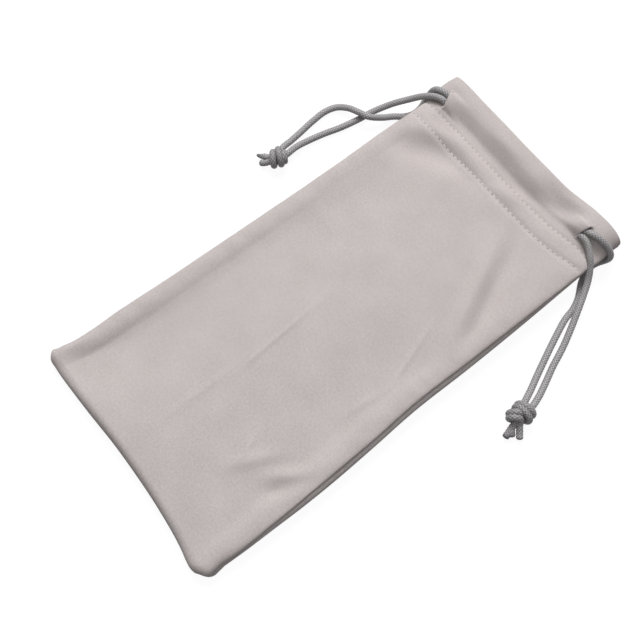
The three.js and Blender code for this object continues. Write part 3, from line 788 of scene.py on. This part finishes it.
# Drawcord ends: from each slit one strand goes straight to the knot and the other goes round the pouch's edge
# and under it first. An overhand knot ties the two together, and the two cut tails are melted at their ends.
# Points of each strand's route, in millimetres from the middle of its slit and up from the floor:
millimetre = 0.001
slit_places = {"left": (-0.0350, 0.0759), "right": (0.0322, 0.0789)}
strand_routes = {
    "left_cord_lead": (
        (2.8, -1, 9.4), (1.2, -1.3, 10.3), (-0.6, -1.6, 11.4), (-2.8, -2.3, 11.2), (-5.4, -3.6, 10),
        (-7.8, -5.5, 8.4), (-10.2, -8.1, 6.3), (-13.1, -12.6, 4.4), (-15.2, -16.6, 2.6), (-16.6, -20.6, 1.5),
        (-17.2, -25.2, 1.3), (-18.6, -33, 1.3), (-20.4, -39.7, 1.3), (-21.6, -45.8, 1.4), (-21.9, -50.9, 2.2),
        (-21.2, -55.6, 3.2)),
    "left_cord_wrap": (
        (1, 1.3, 10.6), (-0.7, 0.8, 11.7), (-2.5, 0.5, 12), (-4.4, 0.1, 11.3), (-6, -0.3, 10.2),
        (-7.2, -0.7, 7.9), (-7.7, -1.5, 5.4), (-7.6, -3, 3.2), (-7.2, -4.9, 1.8), (-6.9, -7, 1.3),
        (-6.9, -9.4, 1.3), (-8, -12.3, 1.4), (-10.2, -15.6, 1.9), (-12.1, -19.6, 2.8), (-14.8, -23.6, 4.1),
        (-18.6, -25.4, 4.1), (-22.6, -26.7, 2.7), (-26, -29.4, 1.4), (-27.2, -33.6, 1.3), (-26.9, -39.6, 1.3),
        (-25.9, -46, 1.5), (-24.9, -51, 2.4), (-24.1, -55.2, 3.4)),
    "right_cord_lead": (
        (-2.7, -1.2, 9.2), (-1.1, -1.3, 10.4), (0.6, -1.4, 11.8), (2.9, -1.7, 11.9), (5.6, -2.7, 11),
        (7.8, -3.9, 10.1), (10.2, -5.5, 8.2), (12.8, -8, 5.9), (15.5, -12, 4.3), (18.6, -17.4, 3.5),
        (21.4, -22.4, 2.6), (24.6, -28.7, 1.6), (27.6, -36, 1.3), (30.4, -42, 1.5), (32.3, -46.6, 2.3),
        (33.5, -50.9, 3.4)),
    "right_cord_wrap": (
        (-2.2, 0.5, 11.2), (-0.6, 0.4, 12.5), (1.5, 0.7, 13.5), (4.3, 1.6, 13.6), (7.2, 2.5, 12.4),
        (9.5, 3.1, 10.3), (10.9, 3.4, 7.8), (11.1, 3.3, 5.2), (10.4, 2.4, 3.2), (9.4, 0.5, 1.8),
        (9.2, -3.2, 1.3), (11.2, -7.8, 1.3), (14.9, -12.8, 1.3), (16.7, -16.7, 1.3), (17.8, -21.4, 1.3),
        (20.3, -27.8, 1.3), (23.7, -35.6, 1.3), (26.6, -42, 1.5), (29, -47.2, 2.3), (30.6, -51.2, 3.5)),
}
# Points of each tail, in millimetres from the middle of its knot and up from the floor
tail_routes = {
    "left_tail_1": ((-2.3, -2, 2.7), (-3.6, -2.9, 2.3), (-4.9, -3.8, 1.8), (-6.4, -4.6, 1.5)),
    "left_tail_2": ((-1, -3, 2.5), (-1.6, -3.9, 2), (-2.4, -4.8, 1.6), (-3.4, -5.6, 1.4)),
    "right_tail_1": ((0.9, -3.4, 3), (1.5, -5.2, 2.5), (2.1, -7.1, 1.8), (2.7, -9.1, 1.5)),
    "right_tail_2": ((2.3, -2.6, 3), (3.6, -3.7, 2.4), (4.8, -4.6, 1.8), (6.1, -5.7, 1.5)),
}
# How far each tail's end is melted back, how much it spreads, and how much wider than high
tail_ends = {
    "left_tail_1": (0.0030, -0.55, 0.0), "left_tail_2": (0.0008, 0.05, 0.0),
    "right_tail_1": (0.0022, 0.15, 0.10), "right_tail_2": (0.0009, 0.08, 0.0),
}
# One melted end has run into a second lobe beside the first
tail_lobes = {"right_tail_1": ((1.6, -5.4, 2.4), (2.8, -6.3, 1.9), (4.0, -7.1, 1.5))}
# Each turn of a knot, in millimetres: its place along the strands at its middle, side and top, then its place
# across, half width and half height
knot_turns = {
    "left": ((-0.85, 0.43, 0.20, 0.0, 2.7, 2.5), (1.45, 0.75, 0.25, 0.0, 2.3, 2.2),
             (-2.30, 0.30, 0.00, 0.6, 1.5, 1.5)),
    "right": ((-1.50, -0.20, -0.60, 0.1, 2.9, 2.4), (0.20, 0.30, -0.50, 0.2, 3.0, 2.6),
              (1.50, -1.30, -0.20, -1.3, 1.8, 2.2), (2.90, -1.10, 0.00, -0.6, 1.6, 1.9)),
}
# Each turn goes a little more than once round, and its two ends pass each other underneath
knot_angles = np.linspace(-0.65, 1.65, 80)[:, None] * math.pi
# Painted shade on the knots: their yarns' crowns are painted less bright than the strands'
knot_crown_light_share = 0.86
knot_headings = {"left": (-0.3, -1), "right": (0.2, -1)}
# How far to the side, and how deep in the knot, the strands and tails end
strand_seats = {"lead": 0.0009, "wrap": -0.0009}
tail_seats = {1: -0.0008, 2: 0.0009}
seat_depth = 0.0010

for side_name in ("left", "right"):
    knot_node = f"{side_name}_knot"
    end_body = f"{side_name}_cord_end"
    knot_low, knot_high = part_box(knot_node)
    knot_centre = np.array((knot_low + knot_high) / 2)
    knot_foot = knot_centre * (1, 1, 0)
    heading = np.array((*knot_headings[side_name], 0)) / np.linalg.norm(knot_headings[side_name])
    sideways = np.array((-heading[1], heading[0], 0))
    bm = bmesh.new()
    for middle, to_side, to_top, across, half_width, half_height in knot_turns[side_name]:
        rounds = (heading * (middle + to_side * np.cos(knot_angles) + to_top * np.sin(knot_angles))
                  + sideways * (across + half_width * np.cos(knot_angles))
                  + np.array((0, 0, half_height)) * np.sin(knot_angles))
        turn_route = smooth_route(knot_centre + rounds * millimetre, ring_spacing)
        add_braid(bm, turn_route, crown_light_share=knot_crown_light_share)
    knot = add_piece(f"{side_name}_overhand_knot", bm, braid, "cord", knot_node)
    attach(knot, end_body)
    for number in (1, 2):
        tail_node = f"{side_name}_tail_{number}"
        seat = knot_centre + heading * seat_depth + sideways * tail_seats[number]
        points = knot_foot + np.array(tail_routes[tail_node]) * millimetre
        melted, flare, lobes = tail_ends[tail_node]
        bm = bmesh.new()
        tail_route = smooth_route(np.vstack([seat, points]), ring_spacing)
        add_braid(bm, tail_route, melted=melted, flare=flare, lobes=lobes)
        if tail_node in tail_lobes:
            lobe = knot_foot + np.array(tail_lobes[tail_node]) * millimetre
            add_braid(bm, smooth_route(lobe, ring_spacing), melted=melted, flare=flare)
        tail = add_piece(f"{side_name}_cut_tail_{number}", bm, braid, "cord", tail_node)
        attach(tail, end_body)
    for strand_name in ("lead", "wrap"):
        strand_node = f"{side_name}_cord_{strand_name}"
        slit_x, slit_y = slit_places[side_name]
        points = np.array(strand_routes[strand_node]) * millimetre + (slit_x, slit_y, 0)
        seat = knot_centre - heading * seat_depth + sideways * strand_seats[strand_name]
        route = smooth_route(np.vstack([points, seat]), ring_spacing)
        bm = bmesh.new()
        add_braid(bm, route)
        strand = add_piece(f"{side_name}_{strand_name}_strand", bm, braid, "cord", strand_node)
        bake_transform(strand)

# Studio: a pale floor and wall, a soft light from past the mouth's left corner, a large dim panel overhead,
# and a camera at the photograph's viewing angle. The floor glows, so it stays white under weak shadows.
floor_material, shader = add_material("pale_floor", Roughness=0.9, Specular_IOR_Level=0.1)
shader.inputs["Base Color"].default_value = linear("#585858")
shader.inputs["Emission Color"].default_value = linear("#ffffff")
shader.inputs["Emission Strength"].default_value = 0.93
room_reach = 3.0


def add_stage(name, bm):
    """Makes a bmesh a pale piece of the studio, which sheds no light of its own on the pouch."""
    mesh = bpy.data.meshes.new(name)
    bm.to_mesh(mesh)
    bm.free()
    mesh.materials.append(floor_material)
    stage = bpy.data.objects.new(name, mesh)
    bpy.context.scene.collection.objects.link(stage)
    stage.visible_diffuse = False
    return stage


bm = bmesh.new()
bmesh.ops.create_grid(bm, x_segments=1, y_segments=1, size=room_reach)
add_stage("floor", bm)

# A round wall, which only the camera sees, so that low views have the same pale ground
bm = bmesh.new()
bmesh.ops.create_cone(bm, segments=64, radius1=room_reach, radius2=room_reach, depth=2 * room_reach)
backdrop = add_stage("backdrop", bm)
backdrop.visible_glossy = False
backdrop.visible_shadow = False

world = bpy.data.worlds.new("studio")
world.use_nodes = True
surround = world.node_tree.nodes["Background"]
surround.inputs["Color"].default_value = linear("#ffffff")
surround.inputs["Strength"].default_value = 0.15
bpy.context.scene.world = world


def add_light(name, place, size, power):
    """A square soft light that faces the pouch."""
    lamp = bpy.data.lights.new(name, "AREA")
    lamp.size = size
    lamp.energy = power
    light = bpy.data.objects.new(name, lamp)
    light.location = place
    light.rotation_euler = (-Vector(place)).to_track_quat("-Z", "Y").to_euler()
    bpy.context.scene.collection.objects.link(light)


add_light("softbox", place=(-0.96, 0.75, 1.54), size=1.0, power=34.0)
add_light("overhead_panel", place=(0, 0.001, 1.8), size=2.4, power=12.5)

camera_place = Vector((0.07655, -0.06787, 0.30583))
camera_target = Vector((0.00008, -0.00850, 0.0040))
camera_data = bpy.data.cameras.new("photo_view")
camera_data.lens = 53.30
camera_data.sensor_width = 36
camera_data.clip_start = 0.01
camera = bpy.data.objects.new("photo_view", camera_data)
camera.location = camera_place
camera.rotation_euler = (camera_target - camera_place).to_track_quat("-Z", "Y").to_euler()
bpy.context.scene.collection.objects.link(camera)
bpy.context.scene.camera = camera
bpy.context.scene.view_settings.view_transform = "Standard"
